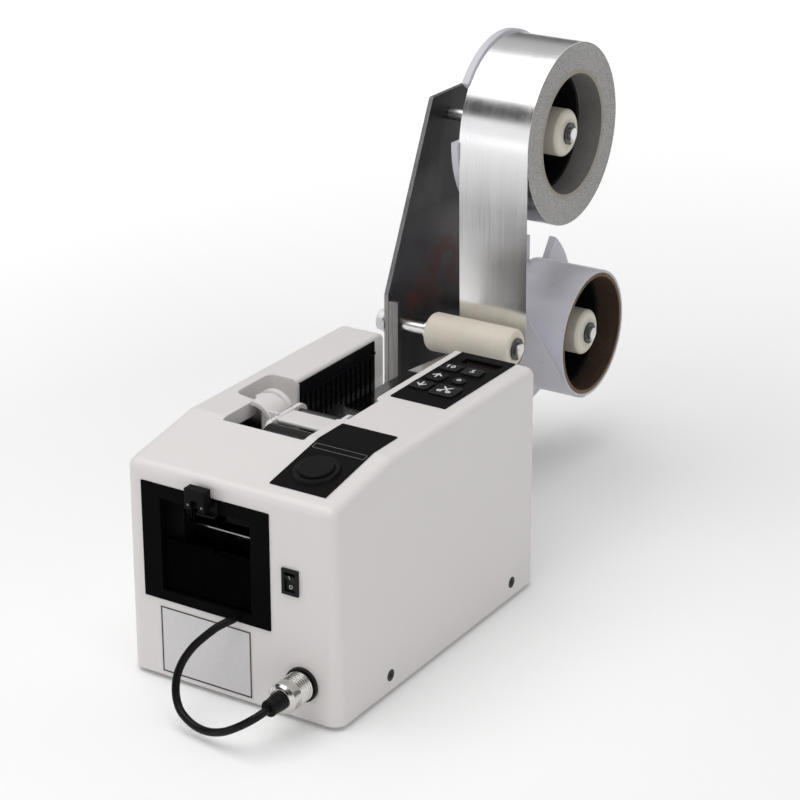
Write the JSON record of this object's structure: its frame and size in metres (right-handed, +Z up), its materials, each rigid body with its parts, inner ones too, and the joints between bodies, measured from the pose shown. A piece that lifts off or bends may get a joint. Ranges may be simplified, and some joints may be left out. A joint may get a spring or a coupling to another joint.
{
  "type": "tape dispenser",
  "caption": "Motor-driven desk tape dispenser: boxy off-white housing with tape well, keypad and cutting mouth, and a rear reel stand that feeds foil tape and winds up its liner.",
  "frame": {"origin": "middle of the whole footprint, without the sensor cable and its plug, on the floor under the feet", "axes": "+Z up, +Y from the cutting mouth towards the reel stand, +X to the right seen from the front"},
  "size_m": [0.154, 0.4942, 0.2982],
  "materials": {
    "housing_white": "glossy off-white moulding",
    "base_black": "black coated sheet",
    "foot_rubber": "matt",
    "screw_black": "black oxide",
    "liner_black": "ribbed, semi-gloss",
    "bezel_black": "satin",
    "exit_gloss": "gloss",
    "sensor_black": "matt",
    "blade_steel": "ground",
    "frame_steel": "rolled sheet",
    "bright_steel": "turned",
    "motor_zinc": "zinc plated",
    "board_green": "solder mask",
    "panel_black": "printed film",
    "display_glass": "dark red window",
    "switch_black": "semi-gloss",
    "rocker_black": "semi-gloss",
    "socket_black": "matt",
    "plate_steel": "dark mirror-rolled sheet",
    "bolt_zinc": "zinc plated",
    "clip_steel": "black oxide",
    "foil": "bright foil",
    "liner_white": "silicone-coated paper",
    "cable_black": "smooth jacket",
    "plug_nickel": "nickel",
    "boot_rubber": "matt",
    "flange_white": "satin",
    "drum_black": "satin",
    "hub_nylon": "satin nylon",
    "core_card": "grey-white card",
    "core_brown": "brown card",
    "roll_foil": "wound foil",
    "roller_rubber": "ground rubber",
    "gear_nylon": "satin",
    "pinion_brass": "cut brass",
    "lever_white": "satin",
    "roller_black": "smooth",
    "carriage_black": "black coated",
    "button_black": "semi-gloss",
    "key_black": "semi-gloss"
  },
  "bodies": {
    "machine": {"housing": "housing_white", "base_plate": "base_black", "feet": "foot_rubber", "cover_screws": "screw_black", "well_liner": "liner_black", "front_bezel": "bezel_black", "exit_plate": "exit_gloss", "sensor_bracket": "sensor_black", "sensor_head": "sensor_black", "fixed_blade": "blade_steel", "side_frames": "frame_steel", "frame_rods": "bright_steel", "lever_spring": "bright_steel", "gear_motors": "motor_zinc", "control_board": "board_green", "keypad_panel": "panel_black", "display_window": "display_glass", "auto_panel": "panel_black", "auto_switch": "switch_black", "rocker_frame": "rocker_black", "panel_socket": "socket_black", "dc_inlet": "socket_black", "stand_plate": "plate_steel", "stand_screws": "bright_steel", "axles": "bright_steel", "axle_bolts": "bolt_zinc", "axle_clips": "clip_steel", "foil_web": "foil", "tape_lead": "foil", "liner_web": "liner_white", "sensor_cable": "cable_black", "plug_ring": "plug_nickel", "plug_boot": "boot_rubber"},
    "supply_reel": {"supply_flange": "flange_white", "supply_drum": "drum_black", "supply_hub": "hub_nylon", "supply_core": "core_card", "supply_roll": "roll_foil"},
    "takeup_reel": {"takeup_flange": "flange_white", "takeup_drum": "drum_black", "takeup_hub": "hub_nylon", "takeup_core": "core_brown", "takeup_roll": "liner_white"},
    "guide": {"guide_roller": "hub_nylon"},
    "feed_shaft": {"drive_roller": "roller_rubber", "drive_gear": "gear_nylon"},
    "feed_motor_pinion": {"feed_pinion": "pinion_brass"},
    "lever": {"pinch_lever": "lever_white"},
    "pinch_wheel": {"pinch_roller": "roller_black"},
    "cutter_slide": {"blade_carriage": "carriage_black", "moving_blade": "blade_steel"},
    "cutter_motor_pinion": {"cutter_pinion": "pinion_brass"},
    "push_button": {"auto_button": "button_black"},
    "coarse_key": {"key_coarse": "key_black"},
    "fine_key": {"key_fine": "key_black"},
    "up_key": {"key_up": "key_black"},
    "mode_key": {"key_mode": "key_black"},
    "down_key": {"key_down": "key_black"},
    "cut_key": {"key_cut": "key_black"},
    "power_rocker": {"rocker": "rocker_black"}
  },
  "joints": [
    {"name": "supply_spin", "type": "hinge", "parent": "machine", "child": "supply_reel", "pos_m": [-0.002, 0.13375, 0.2387], "axis": [1, 0, 0], "continuous": true},
    {"name": "takeup_spin", "type": "hinge", "parent": "machine", "child": "takeup_reel", "pos_m": [-0.002, 0.16875, 0.0946], "axis": [1, 0, 0], "continuous": true},
    {"name": "guide_spin", "type": "hinge", "parent": "machine", "child": "guide", "pos_m": [-0.002, 0.06575, 0.1175], "axis": [1, 0, 0], "continuous": true},
    {"name": "feed_spin", "type": "hinge", "parent": "machine", "child": "feed_shaft", "pos_m": [-0.002, -0.15125, 0.102], "axis": [1, 0, 0], "continuous": true},
    {"name": "feed_pinion_spin", "type": "hinge", "parent": "machine", "child": "feed_motor_pinion", "pos_m": [-0.002, -0.13315, 0.08571], "axis": [1, 0, 0], "continuous": true},
    {"name": "lever_lift", "type": "hinge", "parent": "machine", "child": "lever", "pos_m": [0.002, -0.11925, 0.131], "axis": [-1, 0, 0], "range_deg": [0, 35]},
    {"name": "pinch_spin", "type": "hinge", "parent": "lever", "child": "pinch_wheel", "pos_m": [-0.002, -0.15125, 0.125], "axis": [1, 0, 0], "continuous": true},
    {"name": "blade_slide", "type": "slide", "parent": "machine", "child": "cutter_slide", "axis": [0, 0, -1], "range_m": [0, 0.013]},
    {"name": "cutter_pinion_turn", "type": "hinge", "parent": "machine", "child": "cutter_motor_pinion", "pos_m": [0.03, -0.1819, 0.075], "axis": [1, 0, 0], "range_deg": [0, 95]},
    {"name": "button_press", "type": "slide", "parent": "machine", "child": "push_button", "axis": [0, 0.1796, -0.9837], "range_m": [0, 0.002], "stiffness_N_per_m": 400},
    {"name": "coarse_press", "type": "slide", "parent": "machine", "child": "coarse_key", "axis": [0, 0, -1], "range_m": [0, 0.001], "stiffness_N_per_m": 400},
    {"name": "fine_press", "type": "slide", "parent": "machine", "child": "fine_key", "axis": [0, 0, -1], "range_m": [0, 0.001], "stiffness_N_per_m": 400},
    {"name": "up_press", "type": "slide", "parent": "machine", "child": "up_key", "axis": [0, 0, -1], "range_m": [0, 0.001], "stiffness_N_per_m": 400},
    {"name": "mode_press", "type": "slide", "parent": "machine", "child": "mode_key", "axis": [0, 0, -1], "range_m": [0, 0.001], "stiffness_N_per_m": 400},
    {"name": "down_press", "type": "slide", "parent": "machine", "child": "down_key", "axis": [0, 0, -1], "range_m": [0, 0.001], "stiffness_N_per_m": 400},
    {"name": "cut_press", "type": "slide", "parent": "machine", "child": "cut_key", "axis": [0, 0, -1], "range_m": [0, 0.001], "stiffness_N_per_m": 400},
    {"name": "rocker_tilt", "type": "hinge", "parent": "machine", "child": "power_rocker", "pos_m": [0.0472, -0.21575, 0.084], "axis": [1, 0, 0], "range_deg": [-20, 0]}
  ],
  "couplings": [
    {"joint": "takeup_spin", "follows": "supply_spin", "ratio": 1.3561},
    {"joint": "guide_spin", "follows": "supply_spin", "ratio": -4.6},
    {"joint": "feed_spin", "follows": "supply_spin", "ratio": 5.75},
    {"joint": "feed_pinion_spin", "follows": "supply_spin", "ratio": -11.5},
    {"joint": "pinch_spin", "follows": "supply_spin", "ratio": -4.7917},
    {"joint": "cutter_pinion_turn", "follows": "blade_slide", "rad_per_m": 125}
  ]
}
